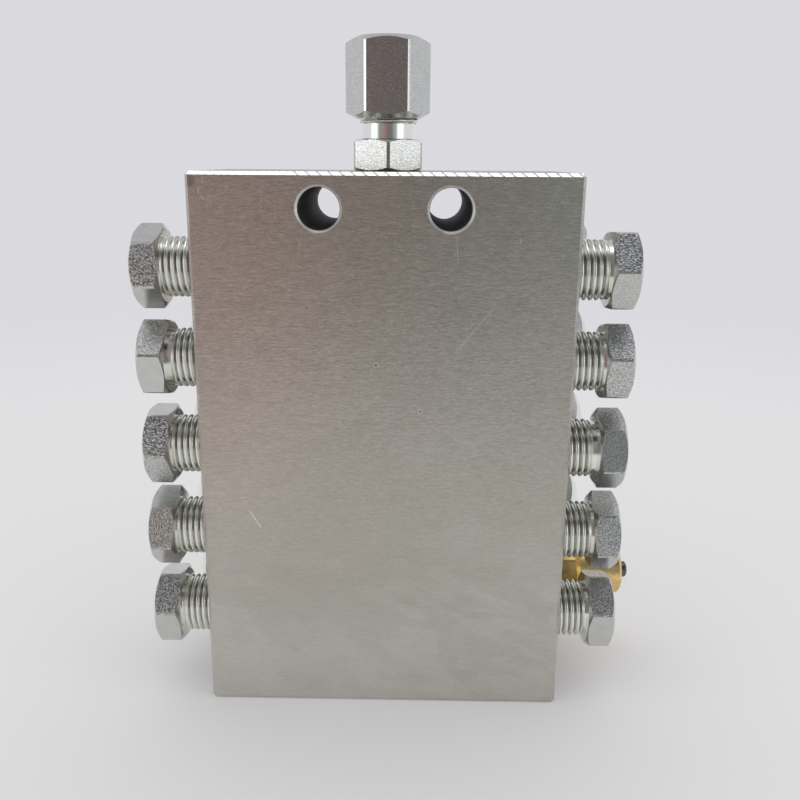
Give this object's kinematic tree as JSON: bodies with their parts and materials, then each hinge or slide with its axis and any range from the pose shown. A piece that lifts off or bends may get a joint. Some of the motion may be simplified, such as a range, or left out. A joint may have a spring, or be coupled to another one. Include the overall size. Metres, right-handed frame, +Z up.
{
  "type": "lubricant divider block",
  "caption": "Progressive lubricant divider block: drilled steel body, sliding pistons, union-screw outlets on both sides, closure plugs, brass cycle indicator and top inlet with tube nut.",
  "frame": {"origin": "middle of the block's bottom face", "axes": "+Z up to the inlet, -Y out of the flat mounting face, -X and +X out of the outlet sides"},
  "size_m": [0.0862, 0.03, 0.1113],
  "materials": {
    "block_steel": "zinc plated over fine horizontal milling grain, edges broken",
    "fitting_zinc": "bright zinc plated, turned threads, some flats left rough from the bar",
    "plug_zinc": "bright zinc plated, crowned ends",
    "ferrule_steel": "zinc plated, hardened",
    "washer_aluminium": "soft, as stamped",
    "piston_steel": "ground and lapped",
    "indicator_brass": "turned, satin",
    "pin_steel": "ground, a little dark",
    "ring_rubber": "moulded"
  },
  "bodies": {
    "housing": {"block": "block_steel", "union_screw_left_1": "fitting_zinc", "union_screw_left_2": "fitting_zinc", "union_screw_left_3": "fitting_zinc", "union_screw_left_4": "fitting_zinc", "union_screw_left_5": "fitting_zinc", "union_screw_right_1": "fitting_zinc", "union_screw_right_2": "fitting_zinc", "union_screw_right_3": "fitting_zinc", "union_screw_right_4": "fitting_zinc", "union_screw_right_5": "fitting_zinc", "ferrule_left_1": "ferrule_steel", "ferrule_left_2": "ferrule_steel", "ferrule_left_3": "ferrule_steel", "ferrule_left_4": "ferrule_steel", "ferrule_left_5": "ferrule_steel", "ferrule_right_1": "ferrule_steel", "ferrule_right_2": "ferrule_steel", "ferrule_right_3": "ferrule_steel", "ferrule_right_4": "ferrule_steel", "ferrule_right_5": "ferrule_steel", "closure_plug_left_1": "plug_zinc", "closure_plug_left_2": "plug_zinc", "closure_plug_left_3": "plug_zinc", "closure_plug_left_4": "plug_zinc", "closure_plug_left_5": "plug_zinc", "closure_plug_right_1": "plug_zinc", "closure_plug_right_2": "plug_zinc", "closure_plug_right_3": "plug_zinc", "closure_plug_right_4": "plug_zinc", "plug_washer_left_1": "washer_aluminium", "plug_washer_left_2": "washer_aluminium", "plug_washer_left_3": "washer_aluminium", "plug_washer_left_4": "washer_aluminium", "plug_washer_left_5": "washer_aluminium", "plug_washer_right_1": "washer_aluminium", "plug_washer_right_2": "washer_aluminium", "plug_washer_right_3": "washer_aluminium", "plug_washer_right_4": "washer_aluminium", "plug_washer_right_5": "washer_aluminium", "indicator_housing": "indicator_brass", "indicator_o_ring": "ring_rubber", "inlet_connector": "fitting_zinc", "tube_nut": "fitting_zinc", "inlet_ferrule": "ferrule_steel"},
    "piston_body_1": {"piston_1": "piston_steel"},
    "piston_body_2": {"piston_2": "piston_steel"},
    "piston_body_3": {"piston_3": "piston_steel"},
    "piston_body_4": {"piston_4": "piston_steel"},
    "piston_body_5": {"piston_5": "piston_steel", "indicator_pin": "pin_steel"}
  },
  "joints": [
    {"name": "piston_slide_1", "type": "slide", "parent": "housing", "child": "piston_body_1", "axis": [1, 0, 0], "range_m": [0, 0.004]},
    {"name": "piston_slide_2", "type": "slide", "parent": "housing", "child": "piston_body_2", "axis": [1, 0, 0], "range_m": [0, 0.004]},
    {"name": "piston_slide_3", "type": "slide", "parent": "housing", "child": "piston_body_3", "axis": [1, 0, 0], "range_m": [0, 0.004]},
    {"name": "piston_slide_4", "type": "slide", "parent": "housing", "child": "piston_body_4", "axis": [1, 0, 0], "range_m": [0, 0.004]},
    {"name": "piston_slide_5", "type": "slide", "parent": "housing", "child": "piston_body_5", "axis": [1, 0, 0], "range_m": [0, 0.004]}
  ]
}
